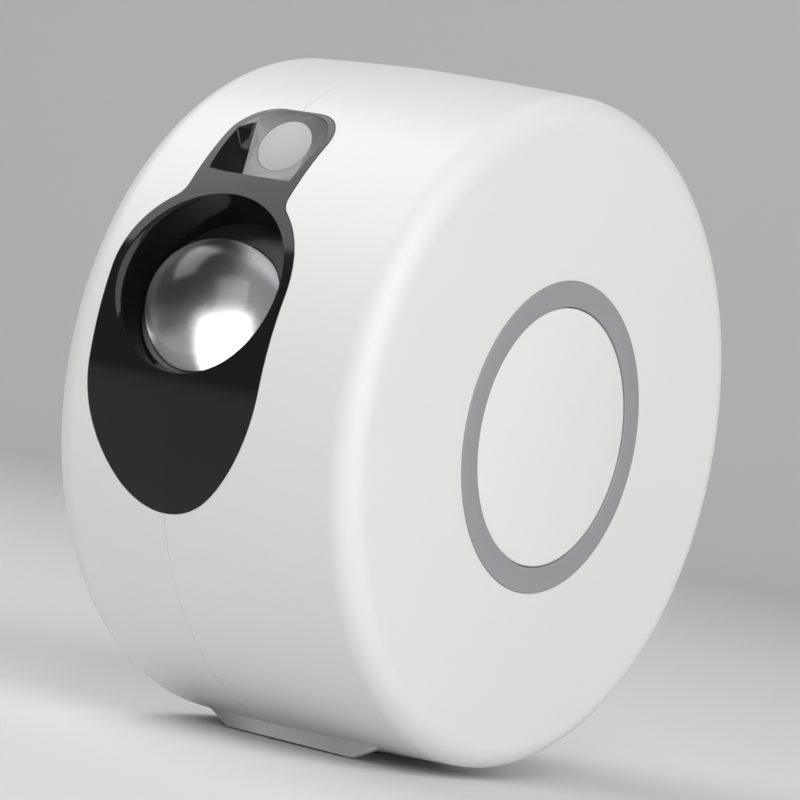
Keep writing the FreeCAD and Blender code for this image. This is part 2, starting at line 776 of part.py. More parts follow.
def make_lens():
    """The domed glass lens, the ring that clamps it and the tube behind it with its fixed ripple plate."""
    lens = turned([
        ("0", TUBE_FRONT),
        ("lens_flange_radius", TUBE_FRONT),
        ("lens_flange_radius", "-lens_edge"),
        ("lens_radius", "-lens_edge"),
        ("lens_radius", "0", "lens_radius", 1),
        ("0", "lens_radius"),
    ])
    finish("projection_lens", place(lens, "optic"))
    disc = drill("optic", "0", "ring_shift", "ring_outer", TUBE_FRONT, "ring_front")
    bore = drill("optic", "0", "0", "lens_radius + slip_gap", TUBE_FRONT, "lens_radius")
    counterbore = drill("optic", "0", "0", "lens_flange_radius + slip_gap", TUBE_FRONT, "-lens_edge")
    finish("lens_ring", cut(disc, bore, counterbore))
    barrel = turned([
        ("tube_bore", TUBE_FRONT),
        ("tube_flange_radius", TUBE_FRONT),
        ("tube_flange_radius", PLATE_FRONT),
        ("tube_radius", PLATE_FRONT),
        ("tube_radius", TUBE_BACK),
        ("tube_lip_bore", TUBE_BACK),
        ("tube_lip_bore", TUBE_BACK + " + tube_lip"),
        ("tube_bore", TUBE_BACK + " + tube_lip"),
    ])
    finish("lens_tube", place(barrel, "optic"))
    lip = TUBE_BACK + " + tube_lip"
    ripple = rod("tube_bore - running_gap", lip, lip + " + ripple_thickness")
    finish("ripple_plate", place(ripple, "optic"))


# Chassis: the spine beside the optics with the two plates that stand on it

MID_BACK = "mid_plate - plate_thickness"
WHEEL_BACK = "wheel_front - wheel_thickness"
MESH = "(wheel_teeth + pinion_teeth) * gear_module / 2"
MOTOR_X = "wheel_offset + %s * cos(motor_angle)" % MESH
MOTOR_Y = "%s * sin(motor_angle)" % MESH
FIN_PITCH = "(led_board_side - fin_thickness) / (fin_count - 1)"
POST_SPOT = "((led_board_side - fin_thickness) / 2 - %s / 2)" % FIN_PITCH
POST_SPOTS = [(x + POST_SPOT, y + POST_SPOT) for x in ("", "-") for y in ("", "-")]
POST_END = MID_BACK + " - post_length"
HOLDER_BACK = "holder_front - holder_length"
HOLDER_SPOTS = [("0", "holder_front - holder_length / 2")]


def make_chassis():
    """One moulding: spine, front plate round the tube, middle plate with posts, arm to the laser."""
    side = ("-plate_half", "plate_half")
    spine = block("optic", (SPINE_OUTER, SPINE_INNER), side, (MID_BACK, PLATE_FRONT))
    arm = block("optic", (SPINE_OUTER, SPINE_INNER), ("plate_half", "arm_top"), (MID_BACK, "arm_front"))
    reach = (SPINE_INNER, "plate_half")
    front = block("optic", reach, side, (PLATE_FRONT + " - plate_thickness", PLATE_FRONT))
    middle = block("optic", reach, side, (MID_BACK, "mid_plate"))
    ear = drill("optic", MOTOR_X, MOTOR_Y, "motor_ear", MID_BACK, "mid_plate")
    stop = drill("optic", "wheel_offset", "0", "hub_collar", "mid_plate", WHEEL_BACK + " - end_gap")
    posts = [drill("optic", x, y, "post_radius", POST_END, MID_BACK) for x, y in POST_SPOTS]
    holes = [
        drill("optic", "0", "0", "tube_radius", TUBE_BACK, "0"),
        drill("optic", "0", "0", "beam_hole", MID_BACK, "mid_plate"),
        drill("optic", "wheel_offset", "0", "axle_radius", MID_BACK, "0"),
        drill("optic", MOTOR_X, MOTOR_Y, "motor_collar_radius", MID_BACK, "mid_plate"),
    ]
    holes += [drill("optic", x, y, "small_screw", POST_END, POST_END + " + small_bite")
              for x, y in POST_SPOTS]
    holes += [cross_rod("optic", y, z, "small_screw", SPINE_OUTER, SPINE_INNER) for y, z in SPINE_SPOTS]
    holes += [cross_rod("laser", y, z, "small_screw", SPINE_OUTER, SPINE_INNER) for y, z in HOLDER_SPOTS]
    finish("optics_chassis", cut(fuse(spine, arm, front, middle, ear, stop, *posts), *holes))
    screws = [cross_screw("optic", y, z, SPINE_INNER, -1, "spine_thickness + small_bite")
              for y, z in SPINE_SPOTS]
    finish("chassis_screws", group(screws))


def cross_screw(frame, y, z, seat, way, length):
    """A small screw parallel to the drum's axis: its head sits on the seat, its shank goes one way."""
    if way > 0:
        shank, head = (seat, seat + " + " + length), (seat + " - small_head_thick", seat)
    else:
        shank, head = (seat + " - (%s)" % length, seat), (seat, seat + " + small_head_thick")
    return fuse(cross_rod(frame, y, z, "small_screw", *shank),
                cross_rod(frame, y, z, "small_head + small_screw / 2", *head))


# Gears

FLANK_POINTS = 4


def gear_face(teeth, module, bore, gap):
    """A spur gear's outline with involute flanks, thinned by the backlash, round a plain bore."""
    pitch = teeth * module / 2
    base = pitch * math.cos(math.radians(value("pressure_angle")))
    tip = pitch + value("addendum") * module
    root = pitch - value("dedendum") * module
    roll = math.sqrt((pitch / base) ** 2 - 1)
    half_tooth = math.pi / (2 * teeth) - gap / (2 * pitch) + roll - math.atan(roll)
    start = max(base, root)
    flank = []
    for step in range(FLANK_POINTS):
        radius = start + (tip - start) * step / (FLANK_POINTS - 1)
        turn = math.sqrt(max((radius / base) ** 2 - 1, 0.0))
        flank.append((radius, half_tooth - turn + math.atan(turn)))
    if root < base:
        flank.insert(0, (root, flank[0][1]))
    points = []
    for tooth in range(teeth):
        middle = 2 * math.pi * tooth / teeth
        for radius, lean in [(r, -a) for r, a in flank] + list(reversed(flank)):
            points.append(Vector(radius * math.cos(middle + lean), radius * math.sin(middle + lean), 0))
    rim = Part.makePolygon(points + [points[0]])
    return Part.Face(rim).cut(Part.Face(Part.Wire(Part.makeCircle(bore))))


def gear(teeth, module, bore, thickness, turn=0.0):
    """A spur gear as a document object, its underside on its own XY plane, turned to mesh."""
    face = gear_face(int(value(teeth)), value(module), value(bore), value("backlash"))
    face.rotate(Vector(0, 0, 0), Vector(0, 0, 1), turn)
    return formed(face.extrude(Vector(0, 0, value(thickness))))


def gear_motor(radius, length, shoulder, collar):
    """A closed can with a round collar on its shoulder, bored for its shaft down to the can's floor."""
    end = shoulder + " - " + length
    return turned([
        ("0", end),
        ("0", end + " + motor_floor"),
        ("shaft_radius + running_gap", end + " + motor_floor"),
        ("shaft_radius + running_gap", collar),
        ("motor_collar_radius", collar),
        ("motor_collar_radius", shoulder),
        (radius, shoulder),
        (radius, end),
    ])


def motor_shaft(length, shoulder, tip):
    """The shaft of such a motor, from just above the can's floor to its tip."""
    return rod("shaft_radius", "%s - %s + motor_floor + end_gap" % (shoulder, length), tip)


# Nebula wheel: ripple glass in a toothed ring, on a hub that turns on a fixed axle


def make_nebula_wheel():
    """The turning glass, its gear, hub and axle, and the motor with its pinion."""
    seat = "wheel_front - glass_thickness"
    angle = value("motor_angle")
    ring = gear("wheel_teeth", "gear_module", "glass_radius - glass_ledge", "wheel_thickness", angle)
    counter = drill("optic", "wheel_offset", "0", "glass_radius", seat, "0")
    finish("nebula_gear", cut(place(ring, "optic", "wheel_offset", "0", WHEEL_BACK), counter))
    glass = tube("glass_radius", "hub_collar", seat, "wheel_front")
    finish("nebula_glass", place(glass, "optic", "wheel_offset"))
    hub = turned([
        ("axle_radius + running_gap", WHEEL_BACK),
        ("hub_radius", WHEEL_BACK),
        ("hub_radius", seat),
        ("hub_collar", seat),
        ("hub_collar", "wheel_front"),
        ("axle_radius + running_gap", "wheel_front"),
    ])
    finish("nebula_hub", place(hub, "optic", "wheel_offset"))
    head = "wheel_front + end_gap"
    axle = turned([
        ("0", MID_BACK),
        ("axle_radius", MID_BACK),
        ("axle_radius", head),
        ("axle_head_radius", head),
        ("axle_head_radius", head + " + axle_head"),
        ("0", head + " + axle_head"),
    ])
    finish("nebula_axle", place(axle, "optic", "wheel_offset"))
    motor = gear_motor("motor_radius", "motor_length", MID_BACK, "mid_plate")
    finish("nebula_motor", place(motor, "optic", MOTOR_X, MOTOR_Y))
    shaft = motor_shaft("motor_length", MID_BACK, "wheel_front")
    finish("nebula_shaft", place(shaft, "optic", MOTOR_X, MOTOR_Y))
    turn = angle + 180 + 180 / value("pinion_teeth")
    pinion = gear("pinion_teeth", "gear_module", "shaft_radius", "wheel_thickness", turn)
    finish("nebula_pinion", place(pinion, "optic", MOTOR_X, MOTOR_Y, WHEEL_BACK))


# Light engine: condenser, LED board and finned heat sink on the chassis posts

LED_ANGLES = (90, 210, 330)
LED_FACE = POST_END
LED_BACK = LED_FACE + " - led_board_thickness"
SINK_BACK = LED_BACK + " - sink_base"


def make_light_engine():
    """Three LEDs on a board, a cone that gathers their light and a heat sink screwed to the posts."""
    half = ("-led_board_side / 2", "led_board_side / 2")
    tip = LED_FACE + " + led_height + end_gap"
    condenser = turned([
        ("0", tip),
        ("condenser_back", tip),
        ("condenser_front", MID_BACK + " - condenser_seat"),
        ("condenser_flange", MID_BACK + " - condenser_seat"),
        ("condenser_flange", MID_BACK),
        ("0", MID_BACK),
    ])
    finish("condenser_lens", place(condenser, "optic"))
    holes = [(x, y, "small_screw") for x, y in POST_SPOTS]
    board = plate(rectangle(half[0], half[1], half[0], half[1]), "led_board_thickness", holes)
    finish("led_board", place(board, "optic", "0", "0", LED_BACK))
    chips = []
    for turn in LED_ANGLES:
        x, y = "led_pitch * cos(%d)" % turn, "led_pitch * sin(%d)" % turn
        chips.append(block("optic", (x + " - led_side / 2", x + " + led_side / 2"),
                           (y + " - led_side / 2", y + " + led_side / 2"),
                           (LED_FACE, LED_FACE + " + led_height")))
    finish("led_chips", group(chips))
    base = plate(rectangle(half[0], half[1], half[0], half[1]), "sink_base", holes)
    place(base, "optic", "0", "0", SINK_BACK)
    fins = []
    for number in range(int(value("fin_count"))):
        left = "-led_board_side / 2 + %d * %s" % (number, FIN_PITCH)
        fins.append(block("optic", (left, left + " + fin_thickness"), half,
                          (SINK_BACK + " - sink_fins", SINK_BACK)))
    finish("heat_sink", fuse(base, *fins))
    screws = []
    for x, y in POST_SPOTS:
        shank = drill("optic", x, y, "small_screw", SINK_BACK, POST_END + " + small_bite")
        head = drill("optic", x, y, "small_head", SINK_BACK + " - small_head_thick", SINK_BACK)
        screws.append(fuse(shank, head))
    finish("heat_sink_screws", group(screws))


# Laser unit: window, turning grating, laser and its motor in one block

STAR_MESH = "(star_teeth + star_pinion_teeth) * star_module / 2"
STAR_BACK = "holder_front + end_gap"
STAR_FRONT = STAR_BACK + " + star_thickness"
LASER_FRONT = "holder_front - laser_setback"


def make_laser_unit():
    """The frosted window, the grating in its gear, the laser, its motor and the block that holds them."""
    window = turned([
        ("0", "-recess_wall - window_lip"),
        ("window_radius + window_lip", "-recess_wall - window_lip"),
        ("window_radius + window_lip", "-recess_wall"),
        ("window_radius", "-recess_wall"),
        ("window_radius", "0"),
        ("0", "0"),
    ])
    finish("laser_window", place(window, "laser"))
    solid = block("laser", (SPINE_INNER, "holder_end"), ("-holder_half", "holder_half"),
                  (HOLDER_BACK, "holder_front"))
    nose = drill("laser", "0", "0", "nose_radius", "holder_front", "holder_front + nose_length")
    bores = [
        drill("laser", "0", "0", "laser_radius", HOLDER_BACK, LASER_FRONT),
        drill("laser", "0", "0", "beam_radius", HOLDER_BACK, "0"),
        drill("laser", STAR_MESH, "0", "star_motor_radius", HOLDER_BACK, LASER_FRONT),
        drill("laser", STAR_MESH, "0", "motor_collar_radius", HOLDER_BACK, "0"),
    ]
    bores += [cross_rod("laser", y, z, "small_screw", SPINE_INNER, SPINE_INNER + " + small_bite")
              for y, z in HOLDER_SPOTS]
    finish("laser_holder", cut(fuse(solid, nose), *bores))
    screws = [cross_screw("laser", y, z, SPINE_OUTER, 1, "spine_thickness + small_bite")
              for y, z in HOLDER_SPOTS]
    finish("holder_screw", screws[0])
    laser = rod("laser_radius", LASER_FRONT + " - laser_length", LASER_FRONT)
    finish("laser_module", place(laser, "laser"))
    ring = gear("star_teeth", "star_module", "nose_radius + running_gap", "star_thickness")
    recess = drill("laser", "0", "0", "film_radius", STAR_FRONT + " - film_thickness", "0")
    finish("star_gear", cut(place(ring, "laser", "0", "0", STAR_BACK), recess))
    film = rod("film_radius", STAR_FRONT + " - film_thickness", STAR_FRONT)
    finish("star_film", place(film, "laser"))
    motor = gear_motor("star_motor_radius", "star_motor_length", LASER_FRONT, "holder_front")
    finish("star_motor", place(motor, "laser", STAR_MESH))
    shaft = motor_shaft("star_motor_length", LASER_FRONT, STAR_FRONT)
    finish("star_shaft", place(shaft, "laser", STAR_MESH))
    turn = 180 + 180 / value("star_pinion_teeth")
    pinion = gear("star_pinion_teeth", "star_module", "shaft_radius", "star_thickness", turn)
    finish("star_pinion", place(pinion, "laser", STAR_MESH, "0", STAR_BACK))


# Control face: the grey ring, the big push button inside it, its spring and its switch

SWITCH_TOP = BOARD_FACE + " + switch_body"
PLUNGER_TIP = SWITCH_TOP + " + plunger_out"
BUTTON_BACK = NEAR_FACE + " - button_thick"
RING_END = RING_SEAT + " - grey_ring_skirt"


def make_control_face():
    """A ring set in the face guides the button, which a spring holds out against the ring's end."""
    ring = turned([
        ("grey_ring_bore", RING_END),
        ("ring_hole_radius - slip_gap", RING_END),
        ("ring_hole_radius - slip_gap", RING_SEAT),
        ("grey_ring_radius", RING_SEAT),
        ("grey_ring_radius", NEAR_FACE + " + grey_ring_proud"),
        ("grey_ring_bore", NEAR_FACE + " + grey_ring_proud"),
    ])
    finish("grey_ring", along_drum(ring))
    skirt_bore = "button_radius - button_skirt_wall"
    stop = RING_END + " - end_gap"
    button = turned([
        ("0", NEAR_FACE),
        ("0", PLUNGER_TIP),
        ("button_post_radius", PLUNGER_TIP),
        ("button_post_radius", BUTTON_BACK),
        (skirt_bore, BUTTON_BACK),
        (skirt_bore, stop + " - button_stop"),
        ("ring_hole_radius - slip_gap", stop + " - button_stop"),
        ("ring_hole_radius - slip_gap", stop),
        ("button_radius", stop),
        ("button_radius", NEAR_FACE),
    ])
    finish("mode_button", along_drum(button))
    spring = tube("spring_radius + spring_wire / 2", "spring_radius - spring_wire / 2",
                  BOARD_FACE, BUTTON_BACK)
    finish("button_spring", along_drum(spring))
    half = ("-switch_side / 2", "switch_side / 2")
    body = block("rear", (BOARD_FACE, SWITCH_TOP), half, half)
    well = cross_rod("drum", "0", "0", "plunger_radius + running_gap",
                     SWITCH_TOP + " - plunger_in - button_travel - end_gap", SWITCH_TOP)
    finish("mode_switch", cut(body, well))
    plunger = rod("plunger_radius", SWITCH_TOP + " - plunger_in", PLUNGER_TIP)
    finish("switch_plunger", along_drum(plunger))


# Circuit board with the power inlet at the rear of the rim


def make_board():
    """The board behind the button, its screws and chips, and the power inlet under its rear edge."""
    board = block("rear", (BOARD_BACK, BOARD_FACE), ("-board_half_width", "board_half_width"),
                  ("board_front", "drum_radius - board_inset"))
    holes = [cross_rod("rear", y, z, "small_screw", BOARD_BACK, BOARD_FACE) for y, z in BOARD_SPOTS]
    finish("main_board", cut(board, *holes))
    screws = [cross_screw("rear", y, z, BOARD_BACK, 1, "board_thickness + small_bite")
              for y, z in BOARD_SPOTS]
    finish("board_screws", group(screws))
    inlet = block("rear", (BOARD_BACK + " - inlet_side", BOARD_BACK), ("-inlet_side / 2", "inlet_side / 2"),
                  (INLET_EDGE + " - inlet_length", INLET_EDGE))
    floor = INLET_EDGE + " - inlet_bore_depth"
    bore = drill("rear", INLET_X, "0", "inlet_bore", floor, INLET_EDGE)
    finish("power_inlet", cut(inlet, bore))
    pin = drill("rear", INLET_X, "0", "inlet_pin_radius", floor, floor + " + inlet_pin_length")
    finish("inlet_pin", pin)
    chip_spots = (("-chip_side / 2", "chip_place"), ("chip_side", "chip_place + 2 * chip_side"))
    chips = [block("rear", (BOARD_BACK + " - chip_height", BOARD_BACK), (left, left + " + chip_side"),
                   (low, low + " + chip_side"))
             for left, low in chip_spots]
    finish("board_chips", group(chips))


# Build, check and write every piece


def faults():
    """Name whatever didn't build, or isn't a sound solid."""
    found = [item.Name for item in doc.Objects if "Invalid" in item.State or "Error" in item.State]
    found += [piece.Label for piece in nodes if piece.Shape.isNull() or not piece.Shape.isValid()
              or not piece.Shape.Solids]
    return found


make_case()
make_front_panel()
make_lens()
make_chassis()
make_nebula_wheel()
make_light_engine()
make_laser_unit()
make_control_face()
make_board()
doc.recompute()

bad = faults()
if bad:
    raise RuntimeError("these did not build: " + ", ".join(bad))
os.makedirs("parts", exist_ok=True)
for piece in nodes:
    piece.Shape.exportStep("parts/%s.step" % piece.Label)
print("%d pieces written" % len(nodes))
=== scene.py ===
import bmesh
import bpy
import math
from mathutils import Matrix, Vector


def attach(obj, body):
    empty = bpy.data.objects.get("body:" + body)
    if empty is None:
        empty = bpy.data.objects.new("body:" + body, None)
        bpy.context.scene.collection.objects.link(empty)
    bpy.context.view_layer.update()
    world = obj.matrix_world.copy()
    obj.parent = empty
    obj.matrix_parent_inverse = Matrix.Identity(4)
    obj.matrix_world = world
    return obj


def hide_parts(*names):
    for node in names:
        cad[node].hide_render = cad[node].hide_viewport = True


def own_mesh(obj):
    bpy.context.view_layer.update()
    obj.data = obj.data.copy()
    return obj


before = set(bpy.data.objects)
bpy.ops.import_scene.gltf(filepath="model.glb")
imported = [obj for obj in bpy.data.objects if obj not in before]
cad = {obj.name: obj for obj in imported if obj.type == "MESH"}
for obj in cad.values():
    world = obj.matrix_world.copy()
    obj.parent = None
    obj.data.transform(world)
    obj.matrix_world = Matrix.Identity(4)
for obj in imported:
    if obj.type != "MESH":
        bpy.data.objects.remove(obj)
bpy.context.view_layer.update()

# Casing: two moulded half drums of white ABS that meet in a fine V-shaped seam, satin from the mould.
# The skins take the drum's exact curve here; four screws from the far face draw the halves together.
# The object's lengths are in millimetres, which MM turns into metres; the studio's are in metres.
MM = 0.001
AXIS_HEIGHT = 81.2
DRUM_RADIUS = 80.0
HALF_WIDTH = 42.2
SEAM = -8.5
SEAM_SLOPE = math.radians(0.82)
CROWN = 1120.0
NEAR_ROUND, FAR_ROUND = 6.2, 7.4
GROOVE_HALF, GROOVE_DEPTH = 0.2, 0.25
FACE_BAND = 1.0
SKIN_NEARNESS, SKIN_AGREEMENT = 0.06, 0.9
SEAM_NEARNESS, RIM_NEARNESS = 0.002, 0.05
SKIN_CREASE = math.radians(28)


def shader_group(name, inputs, outputs):
    """An empty node group with these named sockets, and its input and output nodes."""
    tree = bpy.data.node_groups.new(name, "ShaderNodeTree")
    for kind, label, value in inputs:
        socket = tree.interface.new_socket(name=label, in_out="INPUT", socket_type="NodeSocket" + kind)
        socket.default_value = value
    for kind, label in outputs:
        tree.interface.new_socket(name=label, in_out="OUTPUT", socket_type="NodeSocket" + kind)
    return tree, tree.nodes.new("NodeGroupInput"), tree.nodes.new("NodeGroupOutput")


def add_node(tree, kind, links=(), **values):
    """A node with its plain settings and its linked inputs; a name with no such setting is a socket."""
    made = tree.nodes.new("ShaderNode" + kind)
    for key, value in values.items():
        if hasattr(made, key):
            setattr(made, key, value)
        else:
            made.inputs[key.replace("_", " ")].default_value = value
    for key, output in dict(links).items():
        tree.links.new(output, made.inputs[key])
    return made


def wear_group():
    """Shared effect: soft changes of tone and gloss, fine relief, and edges that catch the light."""
    tree, given, result = shader_group(
        "Surface wear",
        (("Color", "Tone", (0.5, 0.5, 0.5, 1)), ("Color", "Second Tone", (0.5, 0.5, 0.5, 1)),
         ("Float", "Patch Scale", 20.0), ("Float", "Low Gloss", 0.3), ("Float", "High Gloss", 0.4),
         ("Float", "Grain Scale", 2000.0), ("Float", "Relief", 0.1), ("Float", "Edge Radius", 0.0002)),
        (("Color", "Color"), ("Float", "Roughness"), ("Vector", "Normal")))
    place = add_node(tree, "TexCoord")
    patch = add_node(tree, "TexNoise",
                     {"Vector": place.outputs["Object"], "Scale": given.outputs["Patch Scale"]}, Detail=3.0)
    tone = add_node(tree, "Mix", {6: given.outputs["Tone"], 7: given.outputs["Second Tone"],
                                  0: patch.outputs["Fac"]}, data_type="RGBA")
    gloss = add_node(tree, "MapRange", {"Value": patch.outputs["Fac"], "To Min": given.outputs["Low Gloss"],
                                        "To Max": given.outputs["High Gloss"]}, From_Min=0.3, From_Max=0.7)
    grain = add_node(tree, "TexNoise",
                     {"Vector": place.outputs["Object"], "Scale": given.outputs["Grain Scale"]}, Detail=2.0)
    edge = add_node(tree, "Bevel", {"Radius": given.outputs["Edge Radius"]}, samples=6)
    relief = add_node(tree, "Bump", {"Height": grain.outputs["Fac"], "Strength": given.outputs["Relief"],
                                     "Normal": edge.outputs["Normal"]}, Distance=0.00003)
    tree.links.new(tone.outputs[2], result.inputs["Color"])
    tree.links.new(gloss.outputs["Result"], result.inputs["Roughness"])
    tree.links.new(relief.outputs["Normal"], result.inputs["Normal"])
    return tree


WEAR = wear_group()


def surface(name, tone, second, patch, gloss, grain, relief, edge=0.0002, **shader):
    """A material whose tone, gloss and relief come from the wear group; the rest is set on the shader."""
    material = bpy.data.materials.new(name)
    material.use_nodes = True
    tree = material.node_tree
    principled = tree.nodes["Principled BSDF"]
    wear = tree.nodes.new("ShaderNodeGroup")
    wear.node_tree = WEAR
    for label, value in (("Tone", (*tone, 1)), ("Second Tone", (*second, 1)), ("Patch Scale", patch),
                         ("Low Gloss", gloss[0]), ("High Gloss", gloss[1]), ("Grain Scale", grain),
                         ("Relief", relief), ("Edge Radius", edge)):
        wear.inputs[label].default_value = value
    tree.links.new(wear.outputs["Color"], principled.inputs["Base Color"])
    tree.links.new(wear.outputs["Roughness"], principled.inputs["Roughness"])
    tree.links.new(wear.outputs["Normal"], principled.inputs["Normal"])
    for label, value in shader.items():
        principled.inputs[label.replace("_", " ")].default_value = value
    return material


def skin_at(along, reach):
    """How far a point stands off the drum's skin, and the skin's direction there along and off the axis."""
    side = 1 if along > SEAM else -1
    edge_round = NEAR_ROUND if side > 0 else FAR_ROUND
    crown_along = SEAM - side * CROWN * math.sin(SEAM_SLOPE)
    crown_reach = DRUM_RADIUS - CROWN * math.cos(SEAM_SLOPE)
    round_along = side * (HALF_WIDTH - edge_round)
    round_reach = crown_reach + math.sqrt((CROWN - edge_round) ** 2 - (round_along - crown_along) ** 2)
    if reach < round_reach and abs(along) > HALF_WIDTH - FACE_BAND:
        return side * along - HALF_WIDTH, (side, 0.0)
    lean = (round_along - crown_along) / (round_reach - crown_reach)
    if side * (along - round_along) > side * lean * (reach - round_reach):
        across, out, size = along - round_along, reach - round_reach, edge_round
    else:
        across, out, size = along - crown_along, reach - crown_reach, CROWN
    length = math.hypot(across, out)
    return length - size, (across / length, out / length)


def skin_normals(mesh):
    """Shade a mesh smooth between sharp edges, and by the drum's exact curve where it lies on the skin."""
    mesh.shade_smooth()
    mesh.set_sharp_from_angle(angle=SKIN_CREASE)
    normals = [Vector(corner.vector) for corner in mesh.corner_normals]
    for face in mesh.polygons:
        for loop in face.loop_indices:
            point = mesh.vertices[mesh.loops[loop].vertex_index].co / MM
            up = point.z - AXIS_HEIGHT
            reach = math.hypot(point.y, up)
            stand_off, (along, out) = skin_at(point.x, reach)
            exact = Vector((along, 0, 0))
            if reach > 1:
                exact = Vector((along, out * point.y / reach, out * up / reach))
            if abs(stand_off) < SKIN_NEARNESS and face.normal.dot(exact) > SKIN_AGREEMENT:
                normals[loop] = exact
    mesh.normals_split_custom_set(normals)


def new_piece(name, mesh, body, node):
    """Stand a mesh in for a CAD node, on its body, and hide the node."""
    piece = bpy.data.objects.new(name, mesh)
    bpy.context.scene.collection.objects.link(piece)
    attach(piece, body)
    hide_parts(node)
    return piece


def skinned_piece(name, node, materials, seamed=True):
    """A moulding with the node's form whose outside follows the drum's curve and dips into the seam."""
    work = bmesh.new()
    work.from_mesh(cad[node].data)
    work.transform(cad[node].matrix_world)
    bmesh.ops.remove_doubles(work, verts=work.verts, dist=1e-6)
    for side in (-1, 1) if seamed else ():
        bmesh.ops.bisect_plane(work, geom=work.verts[:] + work.edges[:] + work.faces[:],
                               plane_co=((SEAM + side * GROOVE_HALF) * MM, 0, 0), plane_no=(1, 0, 0),
                               dist=1e-7)
    for vert in work.verts:
        up = vert.co.z - AXIS_HEIGHT * MM
        reach = math.hypot(vert.co.y, up)
        on_seam = abs(vert.co.x / MM - SEAM) < SEAM_NEARNESS
        if seamed and on_seam and abs(reach / MM - DRUM_RADIUS) < RIM_NEARNESS:
            shrink = 1 - GROOVE_DEPTH * MM / reach
            vert.co.y *= shrink
            vert.co.z = AXIS_HEIGHT * MM + up * shrink
    mesh = bpy.data.meshes.new(name)
    work.to_mesh(mesh)
    work.free()
    for material in materials:
        mesh.materials.append(material)
    skin_normals(mesh)
    return new_piece(name, mesh, "case", node)


casing_white = surface("casing_white", tone=(0.79, 0.79, 0.78), second=(0.82, 0.82, 0.81), patch=9.0,
                       gloss=(0.38, 0.44), grain=2600.0, relief=0.10, edge=0.0003)
skinned_piece("casing_near", "near_shell", (casing_white,))
skinned_piece("casing_far", "far_shell", (casing_white,))

# Front panel: one gloss black moulding, clipped behind the casing's opening by its flange.
# It carries the cup round the lens and the recess of the laser window. The recess's floor, near wall
# and top are painted grey: a painted reflection of the light above on the black moulding.
PANEL_PLACE = -8.3
WINDOW_TILT = math.radians(26.8)
WINDOW_REACH, WINDOW_RISE = 76.4, math.radians(44.9)
WINDOW_PLACE = Vector((PANEL_PLACE, -WINDOW_REACH * math.cos(WINDOW_RISE),
                       AXIS_HEIGHT + WINDOW_REACH * math.sin(WINDOW_RISE)))
WINDOW_LOOK = Vector((0, -math.cos(WINDOW_TILT), math.sin(WINDOW_TILT)))
WINDOW_UP = Vector((0, math.sin(WINDOW_TILT), math.cos(WINDOW_TILT)))
RECESS_REACH, RECESS_LEAN = 14.0, 0.3
panel_black = surface("panel_black", tone=(0.004, 0.004, 0.0045), second=(0.006, 0.006, 0.0065), patch=30.0,
                      gloss=(0.08, 0.12), grain=1500.0, relief=0.02, edge=0.0003, Specular_IOR_Level=0.32)
# Painted reflection: a mid grey that stands for the light above seen in the gloss black recess.
painted_recess_reflection = surface("painted_recess_reflection", tone=(0.27, 0.27, 0.272), second=(0.30, 0.30, 0.302), patch=40.0,
                      gloss=(0.33, 0.38), grain=2500.0, relief=0.05)
panel = skinned_piece("bezel", "front_panel", (panel_black, painted_recess_reflection), seamed=False)
# The recess's floor, near wall and top take the grey of the painted reflection.
for face in panel.data.polygons:
    offset = face.center / MM - WINDOW_PLACE
    depth = offset.dot(WINDOW_LOOK)
    on_floor = abs(depth) < 0.01 and face.normal.dot(WINDOW_LOOK) > 0.99
    near_wall = offset.x > 0 and face.normal.x < -RECESS_LEAN
    top_wall = face.normal.dot(WINDOW_UP) < -RECESS_LEAN
    if on_floor or (offset.length < RECESS_REACH and depth > -0.1 and (near_wall or top_wall)):
        face.material_index = 1

# Projection lens: a clear moulded dome with a flange that the black ring clamps.
# Turned pieces share one way of making, first used here: rings of points, one after another, closed
# into a skin round the piece's own Z. The condenser behind it is of the same glass.
OPTIC_TILT = math.radians(24.0)
LENS_REACH, LENS_RISE = 70.1, math.radians(12.3)
LENS_PLACE = Vector((PANEL_PLACE, -LENS_REACH * math.cos(LENS_RISE),
                     AXIS_HEIGHT + LENS_REACH * math.sin(LENS_RISE)))
LENS_RADIUS, LENS_DROP = 16.2, 1.2
NECK_RADIUS, FLANGE_RADIUS = 16.15, 17.5
FLANGE_BACK, FLANGE_FRONT, FLANGE_EDGE = -4, -2, 0.3


def looking(place, tilt):
    """The frame at a place whose own Z looks forward and this far up, in metres."""
    turn = Matrix.Rotation(math.pi / 2 - tilt, 4, "X")
    return Matrix.Translation(place * MM) @ turn


def section(corners, shift=0.0, steps=4):
    """A profile's (reach, height, shift) points, each (reach, height, round) corner eased into an arc."""
    points = []
    for index, (reach, height, size) in enumerate(corners):
        corner = Vector((reach, height))
        if not size:
            points.append(corner)
            continue
        before = (Vector(corners[index - 1][:2]) - corner).normalized()
        after = (Vector(corners[(index + 1) % len(corners)][:2]) - corner).normalized()
        for step in range(steps + 1):
            part = step / steps
            first, last = corner + before * size * (1 - part), corner + after * size * part
            points.append(first.lerp(last, part))
    return [(point.x, point.y, shift) for point in points]


